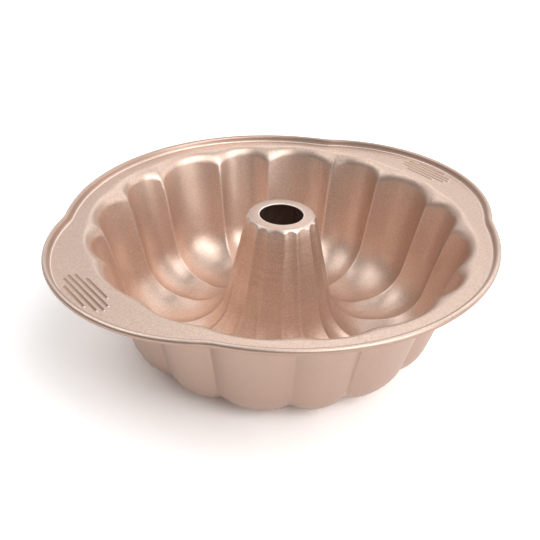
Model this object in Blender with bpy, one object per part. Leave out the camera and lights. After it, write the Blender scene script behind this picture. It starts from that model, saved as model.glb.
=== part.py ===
"""Fluted tube pan: a ring cake mould with sixteen flutes, two ears and a centre tube.

The pan is one steel sheet, pressed and then rolled over at its edge around a wire.
X runs through the two ears, Z is up and Z = 0 is the surface that the pan stands on.
The flutes come in pairs, a wide one and a narrow one. Between two flutes the sheet
stands up in a ridge on the cake side, from the flange down the wall, over the floor
and up the tube.
"""
import math

import bmesh
import bpy
from mathutils import Vector

MM = 0.001

# The sheet and its wire.
SHEET = 0.6 * MM
WIRE_CLEARANCE = 0.35 * MM

# A flute's hollow line, from the flange down the wall, over the floor and up the tube.
# The wall's radius is where its slope would meet the flange.
FLUTE_DEPTH = 69.7 * MM
WALL_RADIUS = 103.0 * MM
WALL_SLOPE = math.radians(15.1)
FLOOR_RADIUS = 60.1 * MM
FLOOR_FLAT = 5.0 * MM
MOUTH_FILLET = 4.2 * MM

# The ridge between two flutes stands this far in from the hollow line.
RIDGE_ON_WALL = 5.7 * MM
RIDGE_ON_FLOOR = 2.8 * MM
RIDGE_ON_TUBE = 1.1 * MM
RIDGE_WALL_SLOPE = math.radians(13.5)
RIDGE_TUBE_SLOPE = math.radians(12.2)
RIDGE_MOUTH_FILLET = 10.8 * MM

# The tube, its flat top ring and its hole. The ring ends in a bevel that starts this far
# inside the tube's hollow line, so it is broad on the ridges and narrow in the flutes.
TUBE_ABOVE_FLANGE = 5.3 * MM
TUBE_TOP_RADIUS = 18.2 * MM
TUBE_SLOPE = math.radians(11.8)
TUBE_TOP_EDGE = 0.6 * MM
HOLE_RADIUS = 12.0 * MM
HOLE_EDGE = 0.25 * MM

# The flutes round the pan.
FLUTE_PAIRS = 8
WIDE_FLUTE = math.radians(25.2)
FLUTE_TURN = math.radians(-1.6)
FLUTE_ROUNDING = math.radians(55.0)
FLUTE_CROWN = 0.2

# The flange's outline, measured where the rolled edge starts to rise: the flange's width
# from the wall's radius, and how far each ear stands out beyond it.
FLANGE_WIDTH = 10.5 * MM
EAR_WIDTH = 13.4 * MM
EAR_RADIUS = 80.2 * MM
EAR_BLEND_RADIUS = 39.9 * MM

# The rolled edge: a ramp up from the flange, then a roll that turns down and under.
ROLL_RADIUS = 1.65 * MM
ROLL_OUT = 2.2 * MM
ROLL_UP = 1.95 * MM
RAMP_FILLET = 1.0 * MM
ROLL_END = math.radians(-115.0)

# Five pressed grip marks on each ear, their ends on an oval. The middle one lies this far
# in from the ear's outline.
GRIP_MARKS = 5
GRIP_INSET = 9.6 * MM
GRIP_PITCH = 2.9 * MM
GRIP_OVAL_LENGTH = 37.0 * MM
GRIP_OVAL_BREADTH = 14.2 * MM
GRIP_WIDTH = 1.0 * MM
GRIP_DEPTH = 0.4 * MM

# How finely the curves are divided.
FLUTE_STRIPS = 5
TUBE_ARC_STEPS = 6
WALL_ARC_STEPS = 6
MOUTH_STEPS = 3
RAMP_STEPS = 2
ROLL_STEPS = 7
WIRE_SIDES = 6
SMOOTH_ANGLE = math.radians(35.0)

FLANGE_HEIGHT = FLUTE_DEPTH + SHEET
TUBE_TOP_HEIGHT = FLANGE_HEIGHT + TUBE_ABOVE_FLANGE
TOP_RING_RADIUS = TUBE_TOP_RADIUS - TUBE_TOP_EDGE
RIM_RADIUS = WALL_RADIUS + FLANGE_WIDTH
EAR_REACH = RIM_RADIUS + EAR_WIDTH
GRIP_DISTANCE = EAR_REACH - GRIP_INSET
WIRE_RADIUS = ROLL_RADIUS - SHEET - WIRE_CLEARANCE
UP = Vector((0.0, 0.0, 1.0))


def clear_scene():
    """Remove what the scene holds, so that only the pan is in it."""
    for item in list(bpy.data.objects):
        bpy.data.objects.remove(item, do_unlink=True)


def make_material(name, colour, roughness, metallic):
    """A plain finish for one piece."""
    material = bpy.data.materials.new(name)
    material.use_nodes = True
    shader = material.node_tree.nodes["Principled BSDF"]
    shader.inputs["Base Color"].default_value = (*colour, 1.0)
    shader.inputs["Roughness"].default_value = roughness
    shader.inputs["Metallic"].default_value = metallic
    return material


def arc(centre, radius, start, end, steps):
    """Points on an arc with the direction of travel at each: (distance, height, heading)."""
    turn = math.copysign(math.pi / 2, end - start)
    points = []
    for step in range(steps + 1):
        angle = start + (end - start) * step / steps
        distance = centre[0] + radius * math.cos(angle)
        height = centre[1] + radius * math.sin(angle)
        points.append((distance, height, angle + turn))
    return points


def meridian(tube_top_radius, tube_slope, depth, wall_radius, wall_slope, mouth_fillet):
    """The cake side of the sheet from the hole out to the flange, along one direction.

    The tube's slope and the wall's slope each run into the level floor through the one
    arc that touches both.
    """
    floor = FLANGE_HEIGHT - depth
    tube_foot = tube_top_radius + (TUBE_TOP_HEIGHT - floor) * math.tan(tube_slope)
    wall_foot = wall_radius - depth * math.tan(wall_slope)
    inner_edge = FLOOR_RADIUS - FLOOR_FLAT / 2
    outer_edge = FLOOR_RADIUS + FLOOR_FLAT / 2
    tube_arc = (inner_edge - tube_foot) * math.cos(tube_slope) / (1 - math.sin(tube_slope))
    wall_arc = (wall_foot - outer_edge) * math.cos(wall_slope) / (1 - math.sin(wall_slope))
    tube_heading = tube_slope - math.pi / 2
    bevel = (tube_top_radius - TOP_RING_RADIUS) / (1 - math.tan(tube_slope))

    points = [(HOLE_RADIUS + HOLE_EDGE, TUBE_TOP_HEIGHT, 0.0)]
    points.append((TOP_RING_RADIUS, TUBE_TOP_HEIGHT, 0.0))
    points.append((TOP_RING_RADIUS + bevel, TUBE_TOP_HEIGHT - bevel, tube_heading))
    points += arc(
        (inner_edge, floor + tube_arc),
        tube_arc,
        math.pi + tube_slope,
        1.5 * math.pi,
        TUBE_ARC_STEPS,
    )
    points += arc(
        (outer_edge, floor + wall_arc),
        wall_arc,
        -math.pi / 2,
        -wall_slope,
        WALL_ARC_STEPS,
    )
    fillet_reach = mouth_fillet * math.tan((math.pi / 2 - wall_slope) / 2)
    points += arc(
        (wall_radius + fillet_reach, FLANGE_HEIGHT - mouth_fillet),
        mouth_fillet,
        math.pi - wall_slope,
        math.pi / 2,
        MOUTH_STEPS,
    )
    return points


def rim_section():
    """The upper side of the rolled edge as (distance out, height above the flange, heading).

    Distance is measured from the flange's outline. The ramp touches the roll, and the roll
    turns over the wire and ends inside, short of the ramp's underside.
    """
    centre_distance = math.hypot(ROLL_OUT, ROLL_UP)
    ramp = math.atan2(ROLL_UP, ROLL_OUT) + math.asin(ROLL_RADIUS / centre_distance)
    reach = RAMP_FILLET * math.tan(ramp / 2)
    points = arc((-reach, RAMP_FILLET), RAMP_FILLET, -math.pi / 2, ramp - math.pi / 2, RAMP_STEPS)
    points += arc((ROLL_OUT, ROLL_UP), ROLL_RADIUS, ramp + math.pi / 2, ROLL_END, ROLL_STEPS)
    return points


def rim_point(angle):
    """The flange's outline at this angle round the pan, and the way out from it.

    The outline is a circle with two ears. Each ear is an arc about a point on the X axis,
    and a hollow arc joins it to the circle.
    """
    side_x = 1.0 if math.cos(angle) >= 0 else -1.0
    side_y = 1.0 if math.sin(angle) >= 0 else -1.0
    way = Vector((abs(math.cos(angle)), abs(math.sin(angle)), 0.0))
    ear_centre = Vector((EAR_REACH - EAR_RADIUS, 0.0, 0.0))
    to_ear = EAR_RADIUS + EAR_BLEND_RADIUS
    to_middle = RIM_RADIUS + EAR_BLEND_RADIUS
    blend_x = (to_middle**2 - to_ear**2 + ear_centre.x**2) / (2 * ear_centre.x)
    blend = Vector((blend_x, math.sqrt(to_middle**2 - blend_x**2), 0.0))
    ear_end = ear_centre + (blend - ear_centre) * (EAR_RADIUS / to_ear)
    circle_start = blend * (RIM_RADIUS / to_middle)
    tangent_of_way = way.y / max(way.x, 1e-9)
    if tangent_of_way < ear_end.y / ear_end.x:
        along = way.dot(ear_centre)
        length = along + math.sqrt(along**2 - ear_centre.length_squared + EAR_RADIUS**2)
        outward = way * length - ear_centre
    elif tangent_of_way < circle_start.y / circle_start.x:
        along = way.dot(blend)
        length = along - math.sqrt(along**2 - blend.length_squared + EAR_BLEND_RADIUS**2)
        outward = blend - way * length
    else:
        length = RIM_RADIUS
        outward = way
    outward = outward.normalized()
    point = Vector((way.x * length * side_x, way.y * length * side_y, 0.0))
    return point, Vector((outward.x * side_x, outward.y * side_y, 0.0))


def flute_columns():
    """The angle of each column round the pan, with how far it is down into its flute.

    The share is 0 on a ridge and 1 on the flat crown along a flute's middle.
    """
    pair = 2 * math.pi / FLUTE_PAIRS
    columns = []
    for number in range(2 * FLUTE_PAIRS):
        width = WIDE_FLUTE if number % 2 == 0 else pair - WIDE_FLUTE
        middle = FLUTE_TURN + pair * number / 2
        for strip in range(FLUTE_STRIPS):
            across = 2 * strip / FLUTE_STRIPS - 1
            from_crown = max(abs(across) - FLUTE_CROWN, 0.0) / (1 - FLUTE_CROWN)
            drop = math.cos(from_crown * FLUTE_ROUNDING) - math.cos(FLUTE_ROUNDING)
            share = drop / (1 - math.cos(FLUTE_ROUNDING))
            columns.append((middle + across * width / 2, share))
    return columns


def cake_side():
    """Rows of points over the sheet's upper side, each with the sheet's slope direction."""
    hollow = meridian(
        TUBE_TOP_RADIUS, TUBE_SLOPE, FLUTE_DEPTH, WALL_RADIUS, WALL_SLOPE, MOUTH_FILLET
    )
    ridge = meridian(
        TUBE_TOP_RADIUS + RIDGE_ON_TUBE,
        RIDGE_TUBE_SLOPE,
        FLUTE_DEPTH - RIDGE_ON_FLOOR,
        WALL_RADIUS - RIDGE_ON_WALL,
        RIDGE_WALL_SLOPE,
        RIDGE_MOUTH_FILLET,
    )
    section = rim_section()
    columns = []
    for angle, share in flute_columns():
        radial = Vector((math.cos(angle), math.sin(angle), 0.0))
        foot, outward = rim_point(angle)
        column = []
        for on_ridge, in_hollow in zip(ridge, hollow):
            distance, height, heading = (a + (b - a) * share for a, b in zip(on_ridge, in_hollow))
            slope = radial * math.cos(heading) + UP * math.sin(heading)
            column.append((radial * distance + UP * height, slope))
        for distance, height, heading in section:
            slope = outward * math.cos(heading) + UP * math.sin(heading)
            column.append((foot + outward * distance + UP * (FLANGE_HEIGHT + height), slope))
        columns.append(column)
    return columns


def closed_rings(name, columns):
    """A mesh from closed outlines, one for each column, that follow each other round."""
    mesh = bmesh.new()
    rings = [[mesh.verts.new(point) for point in column] for column in columns]
    for number, ring in enumerate(rings):
        following = rings[(number + 1) % len(rings)]
        for step in range(len(ring)):
            after = (step + 1) % len(ring)
            mesh.faces.new((ring[step], ring[after], following[after], following[step]))
    data = bpy.data.meshes.new(name)
    mesh.to_mesh(data)
    mesh.free()
    return data


def add_object(name, data, material):
    """Put a mesh in the scene with its finish, its gentle edges shaded smooth."""
    data.materials.append(material)
    data.shade_smooth()
    data.set_sharp_from_angle(angle=SMOOTH_ANGLE)
    item = bpy.data.objects.new(name, data)
    bpy.context.collection.objects.link(item)
    return item


def grip_bars(name, margin, bottom, top):
    """Bars along the grip marks of both ears, as a guide to cut with or to add."""
    mesh = bmesh.new()
    half_width = GRIP_WIDTH / 2 + margin
    for number in range(GRIP_MARKS):
        offset = (number - (GRIP_MARKS - 1) / 2) * GRIP_PITCH
        on_oval = math.sqrt(max(1 - (2 * offset / GRIP_OVAL_BREADTH) ** 2, 0.0))
        half_length = GRIP_OVAL_LENGTH / 2 * on_oval + margin
        straight = half_length - half_width
        outline = (
            (half_width, -straight),
            (half_width, straight),
            (0.0, half_length),
            (-half_width, straight),
            (-half_width, -straight),
            (0.0, -half_length),
        )
        for side in (1, -1):
            middle = side * (GRIP_DISTANCE + offset)
            corners = [mesh.verts.new((middle + x, y, bottom)) for x, y in outline]
            face = mesh.faces.new(corners)
            lifted = bmesh.ops.extrude_face_region(mesh, geom=[face])
            moved = [item for item in lifted["geom"] if isinstance(item, bmesh.types.BMVert)]
            bmesh.ops.translate(mesh, verts=moved, vec=(0.0, 0.0, top - bottom))
    bmesh.ops.recalc_face_normals(mesh, faces=mesh.faces)
    data = bpy.data.meshes.new(name)
    mesh.to_mesh(data)
    mesh.free()
    guide = bpy.data.objects.new(name, data)
    guide.hide_render = True
    guide.display_type = "WIRE"
    bpy.context.collection.objects.link(guide)
    return guide


def press_grip_marks(shell):
    """Sink the grip marks into the ears, with the sheet standing out beneath them."""
    under_flange = FLANGE_HEIGHT - SHEET
    ribs = grip_bars("grip_ribs", SHEET, under_flange - GRIP_DEPTH, under_flange + SHEET / 2)
    grooves = grip_bars("grip_grooves", 0.0, FLANGE_HEIGHT - GRIP_DEPTH, FLANGE_HEIGHT + SHEET)
    for guide, operation in ((ribs, "UNION"), (grooves, "DIFFERENCE")):
        change = shell.modifiers.new(guide.name, "BOOLEAN")
        change.operation = operation
        change.object = guide


def build_shell():
    """The pressed sheet: its cake side, and its outer side one sheet thickness behind."""
    columns = cake_side()
    outlines = []
    for number, column in enumerate(columns):
        before = columns[number - 1]
        following = columns[(number + 1) % len(columns)]
        outer_side = []
        for row, (point, slope) in enumerate(column):
            round_pan = following[row][0] - before[row][0]
            outer_side.append(point - slope.cross(round_pan).normalized() * SHEET)
        hole_side = column[0][0].copy()
        hole_side.z = 0.0
        hole_wall = hole_side.normalized() * HOLE_RADIUS
        hole_upper = hole_wall + UP * (TUBE_TOP_HEIGHT - HOLE_EDGE)
        hole_lower = hole_wall + UP * (TUBE_TOP_HEIGHT - SHEET)
        outline = [point for point, _ in column]
        outline += list(reversed(outer_side[1:]))
        outline += [hole_lower, hole_upper]
        outlines.append(outline)
    coating = make_material("champagne_coating", (0.62, 0.42, 0.34), 0.42, 0.75)
    shell = add_object("pan_shell", closed_rings("pan_shell", outlines), coating)
    press_grip_marks(shell)
    return shell


def build_wire():
    """The steel wire in the middle of the rolled edge, closed round the pan."""
    outlines = []
    for angle, _ in flute_columns():
        foot, outward = rim_point(angle)
        centre = foot + outward * ROLL_OUT + UP * (FLANGE_HEIGHT + ROLL_UP)
        outline = []
        for side in range(WIRE_SIDES):
            turn = -2 * math.pi * side / WIRE_SIDES
            reach = outward * math.cos(turn) + UP * math.sin(turn)
            outline.append(centre + reach * WIRE_RADIUS)
        outlines.append(outline)
    steel = make_material("wire_steel", (0.45, 0.45, 0.46), 0.35, 1.0)
    return add_object("rim_wire", closed_rings("rim_wire", outlines), steel)


def main():
    clear_scene()
    build_shell()
    build_wire()


main()
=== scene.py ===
import math

import bmesh
import bpy
import numpy as np
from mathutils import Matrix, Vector


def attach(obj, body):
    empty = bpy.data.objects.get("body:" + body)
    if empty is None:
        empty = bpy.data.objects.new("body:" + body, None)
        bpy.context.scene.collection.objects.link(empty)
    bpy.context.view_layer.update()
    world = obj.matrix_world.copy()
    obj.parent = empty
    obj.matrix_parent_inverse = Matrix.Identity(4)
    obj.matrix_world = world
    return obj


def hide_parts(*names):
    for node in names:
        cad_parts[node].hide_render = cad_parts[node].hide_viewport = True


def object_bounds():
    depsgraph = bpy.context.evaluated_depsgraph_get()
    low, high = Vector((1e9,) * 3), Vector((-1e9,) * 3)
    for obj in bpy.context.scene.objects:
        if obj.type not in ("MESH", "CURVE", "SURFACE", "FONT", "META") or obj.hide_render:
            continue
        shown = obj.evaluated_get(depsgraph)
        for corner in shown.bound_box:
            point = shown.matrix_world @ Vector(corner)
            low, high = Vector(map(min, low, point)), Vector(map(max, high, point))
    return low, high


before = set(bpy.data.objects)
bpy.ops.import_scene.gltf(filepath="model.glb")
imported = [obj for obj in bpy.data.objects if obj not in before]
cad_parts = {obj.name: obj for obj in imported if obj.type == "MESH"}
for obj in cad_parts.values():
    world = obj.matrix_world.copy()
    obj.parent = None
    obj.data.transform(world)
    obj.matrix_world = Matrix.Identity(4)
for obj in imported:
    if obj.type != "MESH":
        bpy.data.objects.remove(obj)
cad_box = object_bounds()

# The looks of the fluted tube pan. Lengths are in metres, in the frame of the CAD part:
# X runs through the two ears, Z is up and Z = 0 is the surface that the pan stands on.
# The pressed sheet is made again here from the CAD part's own sizes, far finer, with its
# ridges rounded, its grip marks pressed as round grooves and its edge rolled smoothly.
MM = 0.001
UP = np.array([0.0, 0.0, 1.0])

# The sheet's cake side along the middle of a flute, from the flange down the wall and over
# the floor. The wall's radius is where its slope would meet the flange. The wall turns into
# the flange with an easy arc and then a tighter one, which touch where the sheet is tilted
# by the mouth's turn.
SHEET = 0.6 * MM
FLUTE_DEPTH = 69.7 * MM
WALL_RADIUS = 103.0 * MM
WALL_SLOPE = math.radians(15.1)
FLOOR_RADIUS = 60.1 * MM
FLOOR_FLAT = 5.0 * MM
MOUTH_FILLET = 4.2 * MM
MOUTH_EASE = 9.0 * MM
MOUTH_TURN = math.radians(48.0)

# The ridge between two flutes stands this far in from that line. It is rounded over a short
# length, and over a longer one where it runs out into the flange.
RIDGE_ON_WALL = 5.7 * MM
RIDGE_ON_FLOOR = 2.8 * MM
RIDGE_ON_TUBE = 1.1 * MM
RIDGE_WALL_SLOPE = math.radians(13.5)
RIDGE_TUBE_SLOPE = math.radians(12.2)
RIDGE_MOUTH_FILLET = 10.8 * MM
RIDGE_ROUNDING = 0.9 * MM
RIDGE_ROUNDING_AT_MOUTH = 6.0 * MM
MOUTH_BLEND = 14.0 * MM

# The tube, its flat top ring with a bevelled edge, and its hole with a rounded lip and a
# painted highlight line round it.
FLANGE_HEIGHT = FLUTE_DEPTH + SHEET
TUBE_TOP_HEIGHT = FLANGE_HEIGHT + 5.3 * MM
TUBE_TOP_RADIUS = 18.2 * MM
TUBE_SLOPE = math.radians(11.8)
TOP_RING_RADIUS = TUBE_TOP_RADIUS - 0.6 * MM
BEVEL_SOFTENING = 0.1 * MM
HOLE_RADIUS = 12.0 * MM
HOLE_LIP = 0.45 * MM
HOLE_PAINTED_HIGHLIGHT_LINE = 0.4 * MM

# The flutes round the pan, a wide one and a narrow one in turn. Across a flute the sheet is
# flat over the crown's share of its width, and then bends up to the ridge as an arc does.
FLUTE_PAIRS = 8
WIDE_FLUTE = math.radians(25.2)
FLUTE_TURN = math.radians(-1.6)
FLUTE_ROUNDING = math.radians(55.0)
FLUTE_CROWN = 0.1

# The flange's outline, measured where the rolled edge starts to rise: a circle, an ear at
# each end of X, and the hollow curves that join them.
RIM_RADIUS = WALL_RADIUS + 10.5 * MM
EAR_REACH = RIM_RADIUS + 13.4 * MM
EAR_RADIUS = 80.2 * MM
EAR_BLEND_RADIUS = 39.9 * MM

# The rolled edge: a ramp up from the flange, then a roll that turns down and under. The
# roll's middle lies this far out from the ramp's foot and this far above the flange.
ROLL_RADIUS = 1.62 * MM
ROLL_OUT = 2.2 * MM
ROLL_UP = 1.95 * MM
RAMP_FILLET = 1.0 * MM
ROLL_END = math.radians(-115.0)

# The grip marks on each ear, their ends on an oval, and the bead at each one's front end.
GRIP_MARKS = 5
GRIP_DISTANCE = EAR_REACH - 9.6 * MM
GRIP_PITCH = 2.9 * MM
GRIP_OVAL_LENGTH = 37.0 * MM
GRIP_OVAL_BREADTH = 14.2 * MM
GRIP_RADIUS = 0.8 * MM
GRIP_DEPTH = 0.45 * MM
GRIP_BEAD = 0.55 * MM
LEVEL_TOLERANCE = 0.02 * MM

# How finely the curves are divided.
FLUTE_STRIPS = 32
TUBE_STEPS = 7
TUBE_ARC_STEPS = 16
WALL_ARC_STEPS = 20
WALL_STEPS = 5
MOUTH_STEPS = 8
FLANGE_STEPS = 3
RAMP_STEPS = 6
ROLL_STEPS = 24
LIP_STEPS = 4
SHARP_ANGLE = math.radians(32.0)

# Two values at every point of the sheet drive its coating. Wear makes it paler, and it is all
# but bare at 1: on the ridges it is partly wear and partly a painted highlight, and round the
# hole, on the top ring's bevel, along the rolled edge and on the grip beads it is a painted
# highlight. Shade makes it deeper: 1 is the tone of the outer side, and 2 the darkest. On the
# rolled edge's flanks and in the grip grooves it is painted shade, and on the top ring it makes
# the coating a little darker.
# Along each ridge the pale line is partly wear and partly a painted highlight on the crest.
RIDGE_WEAR_AND_HIGHLIGHT = 0.8
RIDGE_WEAR_AND_HIGHLIGHT_WIDTH = 0.5 * MM
RIDGE_WEAR_AND_HIGHLIGHT_FADE = 8.0 * MM
TUBE_WEAR_AND_HIGHLIGHT_SHARE = 0.35
# A painted highlight round the hole's edge, along the top ring's bevel and over the hole's lip.
TOP_PAINTED_HIGHLIGHT = (1.0, 0.0, 0.0, 0.7, 0.7, 0.0)
TOP_SHADE = (0.0, 0.35, 0.35, 0.0, 0.0, 0.0)
LIP_PAINTED_HIGHLIGHT = (0.0, 0.8, 1.0, 1.0, 1.0)
LIP_SHADE = (1.0, 0.0, 0.0, 0.0, 0.0)
OUTER_SHADE = 1.0
GROOVE_PAINTED_SHADE = 1.35

# The rolled edge has pale lines along its foot and its top, which are painted highlights, and
# deeper flanks, which are painted shade. Each value comes with the number of rows that hold
# it, from the foot over the roll and under it.
RIM_PAINTED_HIGHLIGHT = np.repeat((0.0, 0.3, 1.0, 0.6, 0.0, 0.3, 0.6, 0.3, 0.0), (1, 1, 2, 1, 9, 1, 2, 1, 15))
RIM_PAINTED_SHADE = np.repeat((0.0, 1.15, 0.0, 0.6, 1.3), (7, 8, 3, 1, 14))

# The coating's colours.
DARK_GRAIN = (0.61, 0.447, 0.362, 1.0)
PALE_GRAIN = (0.83, 0.636, 0.534, 1.0)
CLOUDED = (0.70, 0.511, 0.42, 1.0)
DRAWN_LINE = (0.55, 0.375, 0.28, 1.0)
SHADED = (0.56, 0.40, 0.325, 1.0)
# The darkest painted shade, for the rolled edge's flanks and the grip grooves.
DARKEST_PAINTED_SHADE = (0.31, 0.16, 0.10, 1.0)
WORN_AND_HIGHLIGHT_PALE = (0.97, 0.9, 0.84, 1.0)

# The coating's noises: how many waves each has in a metre, and how much it tints.
GRAIN_SCALE = 1000.0
FLAKE_SCALE = 700.0
CLOUD_SCALE = 22.0
LINE_SCALE = 1500.0
CLOUD_TINT = 0.3
LINE_TINT = 0.25
SHADE_TINT = 0.85

# Most of a noise lies in the wide range, and its middle in the narrow ones.
WIDE = (0.3, 0.7)
MIDDLE = (0.35, 0.65)
NARROW = (0.4, 0.6)

# The drawn lines lie on the tube and fade out over its foot. They run round it, because the
# noise that makes them is stretched along the level.
TUBE_LINES_FULL = 28.0 * MM
TUBE_LINES_GONE = 44.0 * MM
LINE_STRETCH = 0.02

# Light wear is patchy. From this much on, the pale lines turn to a bare white painted
# highlight, up to this share.
PATCHES = (0.25, 0.7)
WHITE_HIGHLIGHT_FROM = 0.8
WHITE_HIGHLIGHT_MOST = 0.9

# The coating's finish: how metallic it is where it is whole and under the bare white painted
# highlight, which scatters more light, how rough it is between its flakes and on them, its clear
# top layer, and the depth of its lines and flakes.
METALLIC = (0.95, 0.45)
ROUGHNESS = (0.35, 0.47)
CLEAR_LAYER = 0.25
CLEAR_LAYER_ROUGHNESS = 0.25
LINE_DEPTH = 0.15 * MM
FLAKE_DEPTH = 0.12 * MM

# The wire's steel.
DARK_STEEL = (0.36, 0.35, 0.34, 1.0)
PALE_STEEL = (0.52, 0.52, 0.53, 1.0)
STEEL_ROUGHNESS = (0.3, 0.45)
STEEL_PATCH_SCALE = 90.0
STEEL_TOOTH_SCALE = 3000.0
STEEL_TOOTH_DEPTH = 0.02 * MM

# The floor is near white. The camera sees it as brighter paper, and so, by this share, does
# what mirrors it.
STAGE_RADIUS = 2.2
FLOOR_TOOTH_SCALE = 300.0
FLOOR_DARK = (0.93, 0.93, 0.93, 1.0)
FLOOR_PALE = (0.95, 0.95, 0.95, 1.0)
PAPER_DARK = (1.4, 1.4, 1.4, 1.0)
PAPER_PALE = (1.42, 1.42, 1.42, 1.0)
MIRRORED_SHARE = 0.4

# Each soft light: its name, azimuth and elevation in degrees, width and height in metres, and
# power in watts.
LIGHT_DISTANCE = 2.0
SOFTBOXES = (
    ("right_softbox", -67, 28, 0.8, 1.3, 14.5),
    ("front_softbox", -97, 44, 1.0, 1.2, 9.0),
    ("side_softbox", -20, 20, 1.0, 1.0, 5.0),
    ("top_softbox", -67, 66, 1.1, 1.4, 9.0),
    ("low_back_softbox", 25, 29, 2.2, 0.9, 3.8),
    ("high_back_softbox", 20, 48, 2.0, 1.0, 7.2),
    ("left_back_softbox", 80, 30, 2.0, 1.2, 4.4),
    ("high_left_softbox", 108, 62, 1.6, 1.0, 6.5),
    ("left_softbox", 150, 52, 1.6, 1.0, 4.4),
)

# The room is white at the horizon and dims upwards, between two heights on its unit sphere.
HORIZON_HEIGHT = 0.06
DIM_HEIGHT = 0.14
HORIZON_STRENGTH = 1.0
DIM_STRENGTH = 0.17

# The camera, found from the pan's outline and flutes in the photo: its place, its angles in
# degrees, and its lens and sensor in millimetres.
CAMERA_PLACE = (-0.23399, -0.27751, 0.26922)
CAMERA_ANGLES = (57.616, -1.869, -38.145)
CAMERA_LENS = 50.173
CAMERA_SENSOR = 36.0
CAMERA_CLIP = 0.01


def arc(centre, radius, start, end, steps):
    """Points on an arc with the direction of travel: rows of (distance, height, heading)."""
    angles = np.linspace(start, end, steps + 1)
    turn = math.copysign(math.pi / 2, end - start)
    distance = centre[0] + radius * np.cos(angles)
    height = centre[1] + radius * np.sin(angles)
    return np.stack([distance, height, angles + turn], axis=1)


def straight(start, end, steps):
    """Points between the end of one stretch and the start of the next, the ends left out."""
    shares = np.linspace(0.0, 1.0, steps + 2)[1:-1, None]
    return start + (end - start) * shares


def mouth_curve(wall_radius, wall_slope, fillet, ease):
    """The turn from the wall into the flange: an easy arc off the wall, then a tighter one.

    The flange starts where that puts the easy arc's lower end on the wall.
    """
    off_wall = math.pi - wall_slope
    joint = math.pi / 2 + MOUTH_TURN
    shift = (fillet - ease) * np.array([math.cos(joint), math.sin(joint)])
    easy = arc(shift - (0.0, fillet), ease, off_wall, joint, MOUTH_STEPS)
    tight = arc((0.0, -fillet), fillet, joint, math.pi / 2, MOUTH_STEPS)
    start = wall_radius + easy[0, 1] * math.tan(wall_slope) - easy[0, 0]
    return np.concatenate([easy, tight[1:]]) + (start, FLANGE_HEIGHT, 0.0)


def meridian(tube_top_radius, tube_slope, depth, wall_radius, wall_slope, fillet, ease):
    """The cake side of the sheet from the hole out to the flange, along one direction."""
    floor = FLANGE_HEIGHT - depth
    tube_foot = tube_top_radius + (TUBE_TOP_HEIGHT - floor) * math.tan(tube_slope)
    wall_foot = wall_radius - depth * math.tan(wall_slope)
    inner_edge = FLOOR_RADIUS - FLOOR_FLAT / 2
    outer_edge = FLOOR_RADIUS + FLOOR_FLAT / 2
    tube_arc = (inner_edge - tube_foot) * math.cos(tube_slope) / (1 - math.sin(tube_slope))
    wall_arc = (wall_foot - outer_edge) * math.cos(wall_slope) / (1 - math.sin(wall_slope))
    bevel = (tube_top_radius - TOP_RING_RADIUS) / (1 - math.tan(tube_slope))
    top = np.array(
        [
            (HOLE_RADIUS + HOLE_LIP, 0.0, 0.0),
            (HOLE_RADIUS + HOLE_LIP + HOLE_PAINTED_HIGHLIGHT_LINE, 0.0, 0.0),
            (TOP_RING_RADIUS - 3 * BEVEL_SOFTENING, 0.0, 0.0),
            (TOP_RING_RADIUS + BEVEL_SOFTENING, -1.5 * BEVEL_SOFTENING, -math.pi / 4),
            (TOP_RING_RADIUS + bevel - BEVEL_SOFTENING, -bevel, -math.pi / 4),
            (TOP_RING_RADIUS + bevel, -bevel - 2 * BEVEL_SOFTENING, tube_slope - math.pi / 2),
        ]
    )
    top[:, 1] += TUBE_TOP_HEIGHT
    tube_arc_centre = (inner_edge, floor + tube_arc)
    tube_to_floor = arc(
        tube_arc_centre, tube_arc, math.pi + tube_slope, 1.5 * math.pi, TUBE_ARC_STEPS
    )
    tube_to_floor[:, 2] -= 2 * math.pi
    wall_arc_centre = (outer_edge, floor + wall_arc)
    floor_to_wall = arc(wall_arc_centre, wall_arc, -math.pi / 2, -wall_slope, WALL_ARC_STEPS)
    mouth = mouth_curve(wall_radius, wall_slope, fillet, ease)
    return np.concatenate(
        [
            top,
            straight(top[-1], tube_to_floor[0], TUBE_STEPS),
            tube_to_floor,
            floor_to_wall,
            straight(floor_to_wall[-1], mouth[0], WALL_STEPS),
            mouth,
        ]
    )


def rim_section():
    """The upper side of the rolled edge: (distance out, height above the flange, heading)."""
    centre_distance = math.hypot(ROLL_OUT, ROLL_UP)
    ramp = math.atan2(ROLL_UP, ROLL_OUT) + math.asin(ROLL_RADIUS / centre_distance)
    reach = RAMP_FILLET * math.tan(ramp / 2)
    foot_centre = (-reach, RAMP_FILLET)
    foot = arc(foot_centre, RAMP_FILLET, -math.pi / 2, ramp - math.pi / 2, RAMP_STEPS)
    roll = arc((ROLL_OUT, ROLL_UP), ROLL_RADIUS, ramp + math.pi / 2, ROLL_END, ROLL_STEPS)
    return np.concatenate([foot, straight(foot[-1], roll[0], 1), roll])


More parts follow.
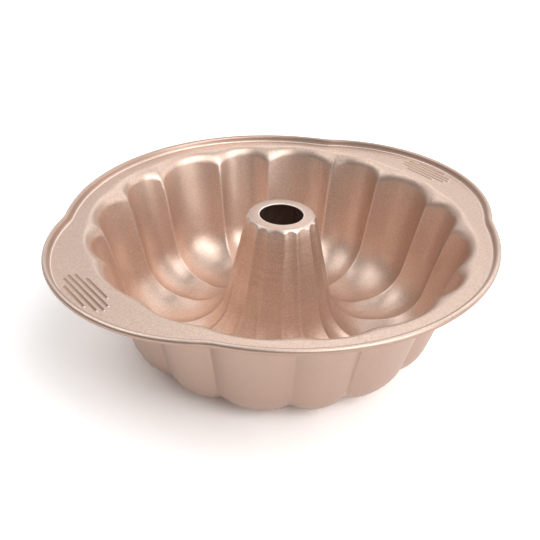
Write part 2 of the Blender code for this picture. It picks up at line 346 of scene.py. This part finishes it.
def rim_outline(angle):
    """The flange's outline at this angle round the pan, and the way out from it."""
    side_x = 1.0 if math.cos(angle) >= 0 else -1.0
    side_y = 1.0 if math.sin(angle) >= 0 else -1.0
    way = np.array([abs(math.cos(angle)), abs(math.sin(angle))])
    ear_centre = np.array([EAR_REACH - EAR_RADIUS, 0.0])
    to_ear = EAR_RADIUS + EAR_BLEND_RADIUS
    to_middle = RIM_RADIUS + EAR_BLEND_RADIUS
    blend_x = (to_middle**2 - to_ear**2 + ear_centre[0] ** 2) / (2 * ear_centre[0])
    blend = np.array([blend_x, math.sqrt(to_middle**2 - blend_x**2)])
    ear_end = ear_centre + (blend - ear_centre) * (EAR_RADIUS / to_ear)
    circle_start = blend * (RIM_RADIUS / to_middle)
    if way[1] * ear_end[0] < way[0] * ear_end[1]:
        along = way @ ear_centre
        length = along + math.sqrt(along**2 - ear_centre @ ear_centre + EAR_RADIUS**2)
        outward = way * length - ear_centre
    elif way[1] * circle_start[0] < way[0] * circle_start[1]:
        along = way @ blend
        length = along - math.sqrt(along**2 - blend @ blend + EAR_BLEND_RADIUS**2)
        outward = blend - way * length
    else:
        length = RIM_RADIUS
        outward = way
    outward = outward / np.linalg.norm(outward)
    point = np.array([way[0] * length * side_x, way[1] * length * side_y, 0.0])
    return point, np.array([outward[0] * side_x, outward[1] * side_y, 0.0])


def flute_columns():
    """For each column of points: its angle, its place across its flute from -1 to 1, and half
    the flute's width. Columns stand closer together towards the ridges."""
    pair = 2 * math.pi / FLUTE_PAIRS
    columns = []
    for number in range(2 * FLUTE_PAIRS):
        width = WIDE_FLUTE if number % 2 == 0 else pair - WIDE_FLUTE
        middle = FLUTE_TURN + pair * number / 2
        for strip in range(FLUTE_STRIPS):
            across = math.sin(math.pi / 2 * (2 * strip / FLUTE_STRIPS - 1))
            columns.append((middle + across * width / 2, across, width / 2))
    return columns


def flute_share(across, half_width, bowl):
    """How far each point is down into its flute: 0 on the ridge, 1 along the crown."""
    from_crown = max(abs(across) - FLUTE_CROWN, 0.0) / (1 - FLUTE_CROWN)
    span = 1 - math.cos(FLUTE_ROUNDING)
    plain = (math.cos(from_crown * FLUTE_ROUNDING) - math.cos(FLUTE_ROUNDING)) / span
    steepness = math.sin(FLUTE_ROUNDING) * FLUTE_ROUNDING / span / (1 - FLUTE_CROWN)
    near_mouth = np.clip((bowl[:, 1] - FLANGE_HEIGHT) / MOUTH_BLEND + 1, 0, 1) ** 2
    near_mouth[bowl[:, 0] < FLOOR_RADIUS] = 0.0
    length = RIDGE_ROUNDING + (RIDGE_ROUNDING_AT_MOUTH - RIDGE_ROUNDING) * near_mouth
    rounding = length / (half_width * bowl[:, 0])
    from_ridge = 1 - abs(across)
    rounded = steepness * (from_ridge**2 + rounding**2) / (2 * rounding)
    return np.where(from_ridge < rounding, np.maximum(rounded, plain), plain)


def bowl_wear_and_highlight(across, half_width, bowl):
    """How pale the coating is along one column of points, from the hole to the flange: most on a
    ridge, where it is partly wear and partly a painted highlight, less so on the tube, and not
    where the ridge runs out into the flange. Round the hole and on the top ring's bevel it is a
    painted highlight."""
    from_ridge = (1 - abs(across)) * half_width * bowl[:, 0]
    wear_and_highlight = RIDGE_WEAR_AND_HIGHLIGHT * np.exp(-((from_ridge / RIDGE_WEAR_AND_HIGHLIGHT_WIDTH) ** 2))
    wear_and_highlight *= np.clip((FLANGE_HEIGHT - bowl[:, 1]) / RIDGE_WEAR_AND_HIGHLIGHT_FADE, 0, 1)
    wear_and_highlight[bowl[:, 0] < FLOOR_RADIUS - FLOOR_FLAT] *= TUBE_WEAR_AND_HIGHLIGHT_SHARE
    wear_and_highlight[: len(TOP_PAINTED_HIGHLIGHT)] = TOP_PAINTED_HIGHLIGHT
    return wear_and_highlight


def cake_side():
    """Points over the sheet's upper side by column and row, from the hole out to the edge,
    with the way along the sheet at each and how pale its coating is there, by wear and by
    painted highlight."""
    hollow = meridian(
        TUBE_TOP_RADIUS,
        TUBE_SLOPE,
        FLUTE_DEPTH,
        WALL_RADIUS,
        WALL_SLOPE,
        MOUTH_FILLET,
        MOUTH_EASE,
    )
    ridge = meridian(
        TUBE_TOP_RADIUS + RIDGE_ON_TUBE,
        RIDGE_TUBE_SLOPE,
        FLUTE_DEPTH - RIDGE_ON_FLOOR,
        WALL_RADIUS - RIDGE_ON_WALL,
        RIDGE_WALL_SLOPE,
        RIDGE_MOUTH_FILLET,
        RIDGE_MOUTH_FILLET,
    )
    section = rim_section()
    points = []
    slopes = []
    wear_and_highlight = []
    for angle, across, half_width in flute_columns():
        radial = np.array([math.cos(angle), math.sin(angle), 0.0])
        foot, outward = rim_outline(angle)
        share = flute_share(across, half_width, hollow)[:, None]
        bowl = ridge + (hollow - ridge) * share
        bowl_points = bowl[:, :1] * radial + bowl[:, 1:2] * UP
        bowl_slopes = np.cos(bowl[:, 2:]) * radial + np.sin(bowl[:, 2:]) * UP
        edge_points = foot + section[:, :1] * outward + (FLANGE_HEIGHT + section[:, 1:2]) * UP
        edge_slopes = np.cos(section[:, 2:]) * outward + np.sin(section[:, 2:]) * UP
        flange_points = straight(bowl_points[-1], edge_points[0], FLANGE_STEPS)
        flange_slopes = np.tile(radial, (FLANGE_STEPS, 1))
        points.append(np.concatenate([bowl_points, flange_points, edge_points]))
        slopes.append(np.concatenate([bowl_slopes, flange_slopes, edge_slopes]))
        on_bowl = bowl_wear_and_highlight(across, half_width, bowl)
        wear_and_highlight.append(np.concatenate([on_bowl, np.zeros(FLANGE_STEPS), RIM_PAINTED_HIGHLIGHT]))
    return np.array(points), np.array(slopes), np.array(wear_and_highlight)


def closed_grid(name, rings):
    """A mesh from closed outlines that follow each other round the pan."""
    count, length = rings.shape[:2]
    ring, step = np.meshgrid(np.arange(count), np.arange(length), indexing="ij")
    next_ring = (ring + 1) % count
    next_step = (step + 1) % length
    corners = [
        ring * length + step,
        ring * length + next_step,
        next_ring * length + next_step,
        next_ring * length + step,
    ]
    faces = np.stack(corners, axis=-1).reshape(-1, 4)
    data = bpy.data.meshes.new(name)
    data.from_pydata(rings.reshape(-1, 3), [], faces.tolist())
    return data


def grip_places():
    """Each grip mark's place along X and half the length of its straight part, on both ears."""
    for number in range(GRIP_MARKS):
        offset = (number - (GRIP_MARKS - 1) / 2) * GRIP_PITCH
        on_oval = math.sqrt(1 - (2 * offset / GRIP_OVAL_BREADTH) ** 2)
        straight_half = GRIP_OVAL_LENGTH / 2 * on_oval - GRIP_RADIUS
        for side in (1, -1):
            yield side * (GRIP_DISTANCE + offset), straight_half


def grip_tool(name, mesh):
    """An object from this mesh, to press the ears with."""
    data = bpy.data.meshes.new(name)
    mesh.to_mesh(data)
    mesh.free()
    tool = bpy.data.objects.new(name, data)
    bpy.context.collection.objects.link(tool)
    return tool


def grip_rods(name, radius, centre_height):
    """Rods with round ends along the grip marks of both ears."""
    mesh = bmesh.new()
    for distance, straight_half in grip_places():
        ball = bmesh.ops.create_uvsphere(mesh, u_segments=24, v_segments=13, radius=radius)
        for vertex in ball["verts"]:
            # The ball is laid with its poles along Y, and its halves move apart into a rod.
            x, y, z = vertex.co
            along = z + math.copysign(straight_half, z)
            vertex.co = (distance + x, along, centre_height - y)
    return grip_tool(name, mesh)


def grip_beads():
    """The small beads that stand up at the front end of every grip mark, painted white as a
    glint.
    """
    mesh = bmesh.new()
    for distance, straight_half in grip_places():
        ball = bmesh.ops.create_uvsphere(mesh, u_segments=16, v_segments=9, radius=GRIP_BEAD)
        place = Vector((distance, -straight_half - GRIP_RADIUS - GRIP_BEAD / 2, FLANGE_HEIGHT))
        for vertex in ball["verts"]:
            vertex.co += place
    return grip_tool("grip_beads", mesh)


def finish_grip_marks(data):
    """Paint shade into the grooves and a white painted glint onto the beads.

    Their points come out of the pressing without values, so they are found by place.
    """
    places = np.empty(3 * len(data.vertices))
    data.vertices.foreach_get("co", places)
    x, y, z = places.reshape(-1, 3).T
    marks = np.zeros(len(x), dtype=bool)
    for distance, straight_half in grip_places():
        beside = np.abs(x - distance)
        marks |= (beside < GRIP_RADIUS) & (np.abs(y) < straight_half + 2 * GRIP_RADIUS)
    level = np.where(marks, z - FLANGE_HEIGHT, 0.0)
    beads = level > LEVEL_TOLERANCE
    grooves = (level < -LEVEL_TOLERANCE) & (level > -GRIP_DEPTH - LEVEL_TOLERANCE)
    # The beads get a white painted glint, and the grooves painted shade.
    for name, on_beads, in_grooves in (("wear_and_highlight", 1.0, 0.0), ("shade", 0.0, GROOVE_PAINTED_SHADE)):
        values = np.empty(len(x))
        data.attributes[name].data.foreach_get("value", values)
        values[beads] = on_beads
        values[grooves] = in_grooves
        data.attributes[name].data.foreach_set("value", values)


def press_grip_marks(pan):
    """Press the round grooves into the ears, with their backs standing out below.

    The backs start at the middle of the sheet, so that nothing of them stands up above it.
    """
    middle = FLANGE_HEIGHT - GRIP_DEPTH + GRIP_RADIUS
    backs = grip_rods("grip_backs", GRIP_RADIUS + SHEET, middle)
    grooves = grip_rods("grip_grooves", GRIP_RADIUS, middle)
    above = bmesh.new()
    above.from_mesh(backs.data)
    cut = bmesh.ops.bisect_plane(
        above,
        geom=above.verts[:] + above.edges[:] + above.faces[:],
        plane_co=(0.0, 0.0, FLANGE_HEIGHT - SHEET / 2),
        plane_no=(0.0, 0.0, 1.0),
        clear_outer=True,
    )
    rims = [item for item in cut["geom_cut"] if isinstance(item, bmesh.types.BMEdge)]
    for face in bmesh.ops.holes_fill(above, edges=rims)["faces"]:
        face.normal_update()
        if face.normal.z < 0:
            face.normal_flip()
    above.to_mesh(backs.data)
    above.free()
    tools = ((backs, "UNION"), (grooves, "DIFFERENCE"), (grip_beads(), "UNION"))
    for tool, operation in tools:
        change = pan.modifiers.new(tool.name, "BOOLEAN")
        change.operation = operation
        change.object = tool
        change.solver = "EXACT"
    bpy.context.view_layer.update()
    pressed = bpy.data.meshes.new_from_object(
        pan.evaluated_get(bpy.context.evaluated_depsgraph_get())
    )
    pan.modifiers.clear()
    finish_grip_marks(pressed)
    pan.data = pressed
    for tool, _ in tools:
        bpy.data.objects.remove(tool, do_unlink=True)


def hole_edge(columns):
    """The sheet's rounded edge round the hole, from its lower side up to the lip."""
    outward = columns * (1.0, 1.0, 0.0)
    outward /= np.linalg.norm(outward, axis=2, keepdims=True)
    angles = np.linspace(math.pi, math.pi / 2, LIP_STEPS + 1)[:-1]
    lip_distance = HOLE_RADIUS + HOLE_LIP + HOLE_LIP * np.cos(angles)
    lip_height = TUBE_TOP_HEIGHT - HOLE_LIP + HOLE_LIP * np.sin(angles)
    lower = outward * HOLE_RADIUS + UP * (TUBE_TOP_HEIGHT - SHEET)
    lip = outward * lip_distance[:, None] + UP * lip_height[:, None]
    return np.concatenate([lower, lip], axis=1)


def add_values(data, name, inside, outside, at_hole):
    """Give every point a value: one for each on the cake side and round the hole, and the
    same all over the outer side."""
    behind = np.full_like(inside[:, 1:], outside)
    round_hole = np.tile(at_hole, (len(inside), 1))
    values = np.concatenate([inside, behind, round_hole], axis=1)
    attribute = data.attributes.new(name, "FLOAT", "POINT")
    attribute.data.foreach_set("value", values.astype(np.float32).ravel())


def make_pan():
    """The pressed sheet, from the tube's hole out to the rolled edge, as one closed body."""
    points, slopes, wear_and_highlight = cake_side()
    round_pan = np.roll(points, -1, axis=0) - np.roll(points, 1, axis=0)
    normals = np.cross(slopes, round_pan)
    normals /= np.linalg.norm(normals, axis=2, keepdims=True)
    outer = points - normals * SHEET
    outer[:, :, 2] = np.maximum(outer[:, :, 2], cad_box[0][2])
    rings = np.concatenate([points, outer[:, :0:-1], hole_edge(points[:, :1])], axis=1)
    data = closed_grid("pan", rings)
    shade = np.zeros_like(wear_and_highlight)
    shade[:, : len(TOP_SHADE)] = TOP_SHADE
    shade[:, -len(RIM_PAINTED_SHADE) :] = RIM_PAINTED_SHADE
    add_values(data, "wear_and_highlight", wear_and_highlight, 0.0, LIP_PAINTED_HIGHLIGHT)
    add_values(data, "shade", shade, OUTER_SHADE, LIP_SHADE)
    pan = bpy.data.objects.new("pan", data)
    bpy.context.collection.objects.link(pan)
    press_grip_marks(pan)
    pan.data.shade_smooth()
    pan.data.set_sharp_from_angle(angle=SHARP_ANGLE)
    return pan


class Nodes:
    """A material, and short ways to add shader nodes to it and get their output sockets."""

    # The sockets of a colour Mix node, by number, because its other kinds have the same names.
    MIX_INPUTS = (0, 6, 7)
    MIX_RESULT = 2

    def __init__(self, name):
        self.material = bpy.data.materials.new(name)
        self.material.use_nodes = True
        self.tree = self.material.node_tree
        self.shader = self.tree.nodes["Principled BSDF"]

    def put(self, node, key, value):
        """Link an output socket to a node's input, or write a plain value there."""
        if isinstance(value, bpy.types.NodeSocket):
            self.tree.links.new(value, node.inputs[key])
        else:
            node.inputs[key].default_value = value

    def finish(self, **inputs):
        """Put values on the sockets of the material's own shader."""
        for key, value in inputs.items():
            self.put(self.shader, key.replace("_", " "), value)
        return self.material

    def add(self, kind, **inputs):
        """Add a node with these inputs, and return the whole node."""
        node = self.tree.nodes.new(kind)
        for key, value in inputs.items():
            self.put(node, key.replace("_", " "), value)
        return node

    def noise(self, place, scale, detail, roughness=0.5):
        node = self.add(
            "ShaderNodeTexNoise", Vector=place, Scale=scale, Detail=detail, Roughness=roughness
        )
        return node.outputs["Fac"]

    def attribute(self, name):
        node = self.add("ShaderNodeAttribute")
        node.attribute_name = name
        return node.outputs["Fac"]

    def spread(self, value, low, high, new_low, new_high):
        """Carry the range from low to high over to the new one, and hold it at its ends."""
        node = self.add(
            "ShaderNodeMapRange",
            Value=value,
            From_Min=low,
            From_Max=high,
            To_Min=new_low,
            To_Max=new_high,
        )
        return node.outputs["Result"]

    def maths(self, operation, first, second):
        node = self.add("ShaderNodeMath")
        node.operation = operation
        self.put(node, 0, first)
        self.put(node, 1, second)
        return node.outputs["Value"]

    def mix(self, share, first, second):
        node = self.add("ShaderNodeMix")
        node.data_type = "RGBA"
        for key, value in zip(self.MIX_INPUTS, (share, first, second)):
            self.put(node, key, value)
        return node.outputs[self.MIX_RESULT]

    def bump(self, **inputs):
        return self.add("ShaderNodeBump", **inputs).outputs["Normal"]


def lines_on_tube(made, place):
    """The fine rings that drawing the sheet leaves on the tube: their pattern, and how far
    each place belongs to the tube."""
    spot = made.add("ShaderNodeSeparateXYZ", Vector=place).outputs
    level = made.add("ShaderNodeCombineXYZ", X=spot["X"], Y=spot["Y"]).outputs["Vector"]
    from_axis = made.add("ShaderNodeVectorMath", Vector=level)
    from_axis.operation = "LENGTH"
    on_tube = made.spread(from_axis.outputs["Value"], TUBE_LINES_FULL, TUBE_LINES_GONE, 1.0, 0.0)
    stretched = made.add("ShaderNodeCombineXYZ", Z=spot["Z"])
    for axis in ("X", "Y"):
        made.put(stretched, axis, made.maths("MULTIPLY", spot[axis], LINE_STRETCH))
    return made.noise(stretched.outputs["Vector"], LINE_SCALE, 1.0), on_tube


def coating():
    """The pan's satin non-stick coating: pale rose gold with a fine metallic grain, fine
    rings on the tube, a deeper tone on the outer side, painted shade on the rolled edge's flanks
    and in the grip grooves, and pale edges that are partly wear and partly painted highlight."""
    made = Nodes("champagne_coating")
    place = made.add("ShaderNodeTexCoord").outputs["Object"]
    grain = made.noise(place, GRAIN_SCALE, 3.0, 0.7)
    flakes = made.noise(place, FLAKE_SCALE, 4.0, 0.75)
    clouds = made.noise(place, CLOUD_SCALE, 3.0)
    drawn, on_tube = lines_on_tube(made, place)
    shade = made.attribute("shade")
    wear_and_highlight = made.attribute("wear_and_highlight")

    colour = made.mix(made.spread(grain, *WIDE, 0.0, 1.0), DARK_GRAIN, PALE_GRAIN)
    colour = made.mix(made.spread(clouds, *MIDDLE, 0.0, CLOUD_TINT), colour, CLOUDED)
    lines = made.maths("MULTIPLY", made.spread(drawn, *NARROW, 0.0, LINE_TINT), on_tube)
    colour = made.mix(lines, colour, DRAWN_LINE)
    # Shade up to 1 deepens the coating to the outer side's tone; above 1 it is painted shade.
    colour = made.mix(made.spread(shade, 0.0, 1.0, 0.0, SHADE_TINT), colour, SHADED)
    colour = made.mix(made.spread(shade, 1.0, 2.0, 0.0, 1.0), colour, DARKEST_PAINTED_SHADE)
    # Pale lines, partly wear and partly painted highlight; the strongest turn to a white painted
    # highlight.
    patchy = made.maths("MULTIPLY", wear_and_highlight, made.spread(flakes, *WIDE, *PATCHES))
    white_highlight = made.spread(wear_and_highlight, WHITE_HIGHLIGHT_FROM, 1.0, 0.0, WHITE_HIGHLIGHT_MOST)
    colour = made.mix(made.maths("MAXIMUM", patchy, white_highlight), colour, WORN_AND_HIGHLIGHT_PALE)

    rings = made.maths("MULTIPLY", drawn, on_tube)
    normal = made.bump(Height=rings, Distance=LINE_DEPTH, Strength=0.6)
    normal = made.bump(Height=flakes, Distance=FLAKE_DEPTH, Strength=0.5, Normal=normal)
    return made.finish(
        Base_Color=colour,
        Metallic=made.spread(white_highlight, 0.0, WHITE_HIGHLIGHT_MOST, *METALLIC),
        Roughness=made.spread(flakes, *WIDE, *ROUGHNESS),
        Coat_Weight=CLEAR_LAYER,
        Coat_Roughness=CLEAR_LAYER_ROUGHNESS,
        Normal=normal,
    )


def wire_steel():
    """Steel wire: grey, with a fine tooth and a few darker patches."""
    made = Nodes("wire_steel")
    place = made.add("ShaderNodeTexCoord").outputs["Object"]
    patches = made.noise(place, STEEL_PATCH_SCALE, 3.0)
    tooth = made.noise(place, STEEL_TOOTH_SCALE, 2.0)
    return made.finish(
        Base_Color=made.mix(made.spread(patches, *MIDDLE, 0.0, 1.0), DARK_STEEL, PALE_STEEL),
        Metallic=1.0,
        Roughness=made.spread(tooth, *WIDE, *STEEL_ROUGHNESS),
        Normal=made.bump(Height=tooth, Distance=STEEL_TOOTH_DEPTH, Strength=0.4),
    )


def floor_paint():
    """A matt white floor with the faintest tooth, seen and mirrored as bright paper."""
    made = Nodes("floor_paint")
    place = made.add("ShaderNodeTexCoord").outputs["Object"]
    tooth = made.noise(place, FLOOR_TOOTH_SCALE, 2.0)
    rays = made.add("ShaderNodeLightPath").outputs
    mirrored = made.maths("MAXIMUM", rays["Is Glossy Ray"], rays["Is Transmission Ray"])
    mirrored = made.maths("MULTIPLY", mirrored, MIRRORED_SHARE)
    seen = made.maths("MAXIMUM", rays["Is Camera Ray"], mirrored)
    plain = made.mix(tooth, FLOOR_DARK, FLOOR_PALE)
    bright = made.mix(tooth, PAPER_DARK, PAPER_PALE)
    paint = made.add("ShaderNodeBsdfDiffuse", Color=made.mix(seen, plain, bright))
    output = made.tree.nodes["Material Output"]
    made.put(output, "Surface", paint.outputs["BSDF"])
    made.tree.nodes.remove(made.shader)
    return made.material


def softbox(name, azimuth, elevation, width, height, power):
    """A soft light at a set distance from the pan, facing it."""
    azimuth = math.radians(azimuth)
    elevation = math.radians(elevation)
    level = math.cos(elevation)
    away = Vector((math.cos(azimuth) * level, math.sin(azimuth) * level, math.sin(elevation)))
    light = bpy.data.lights.new(name, "AREA")
    light.shape = "RECTANGLE"
    light.size = width
    light.size_y = height
    light.energy = power
    item = bpy.data.objects.new(name, light)
    bpy.context.collection.objects.link(item)
    item.location = away * LIGHT_DISTANCE + Vector((0.0, 0.0, FLANGE_HEIGHT / 2))
    item.rotation_euler = (-away).to_track_quat("-Z", "Y").to_euler()


def lay_floor():
    """A round floor that the pan stands on."""
    mesh = bmesh.new()
    bmesh.ops.create_circle(mesh, cap_ends=True, segments=96, radius=STAGE_RADIUS)
    data = bpy.data.meshes.new("floor")
    mesh.to_mesh(data)
    mesh.free()
    data.materials.append(floor_paint())
    floor = bpy.data.objects.new("floor", data)
    bpy.context.collection.objects.link(floor)


def set_room():
    """The pale room round the floor."""
    world = bpy.data.worlds.new("room")
    bpy.context.scene.world = world
    world.use_nodes = True
    nodes = world.node_tree.nodes
    links = world.node_tree.links
    place = nodes.new("ShaderNodeTexCoord")
    spot = nodes.new("ShaderNodeSeparateXYZ")
    strength = nodes.new("ShaderNodeMapRange")
    strength.inputs["From Min"].default_value = HORIZON_HEIGHT
    strength.inputs["From Max"].default_value = DIM_HEIGHT
    strength.inputs["To Min"].default_value = HORIZON_STRENGTH
    strength.inputs["To Max"].default_value = DIM_STRENGTH
    links.new(place.outputs["Generated"], spot.inputs["Vector"])
    links.new(spot.outputs["Z"], strength.inputs["Value"])
    links.new(strength.outputs["Result"], nodes["Background"].inputs["Strength"])
    nodes["Background"].inputs["Color"].default_value = (1.0, 1.0, 1.0, 1.0)


def set_camera():
    """The camera that took the photo."""
    camera = bpy.data.cameras.new("camera")
    camera.sensor_width = CAMERA_SENSOR
    camera.lens = CAMERA_LENS
    camera.clip_start = CAMERA_CLIP
    item = bpy.data.objects.new("camera", camera)
    bpy.context.collection.objects.link(item)
    item.location = CAMERA_PLACE
    item.rotation_euler = [math.radians(angle) for angle in CAMERA_ANGLES]
    bpy.context.scene.camera = item


pan = make_pan()
pan.data.materials.clear()
pan.data.materials.append(coating())
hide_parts("pan_shell")
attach(pan, "root")

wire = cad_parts["rim_wire"]
wire.data.materials.clear()
wire.data.materials.append(wire_steel())

lay_floor()
for values in SOFTBOXES:
    softbox(*values)
set_room()
set_camera()
bpy.context.scene.view_settings.view_transform = "Standard"
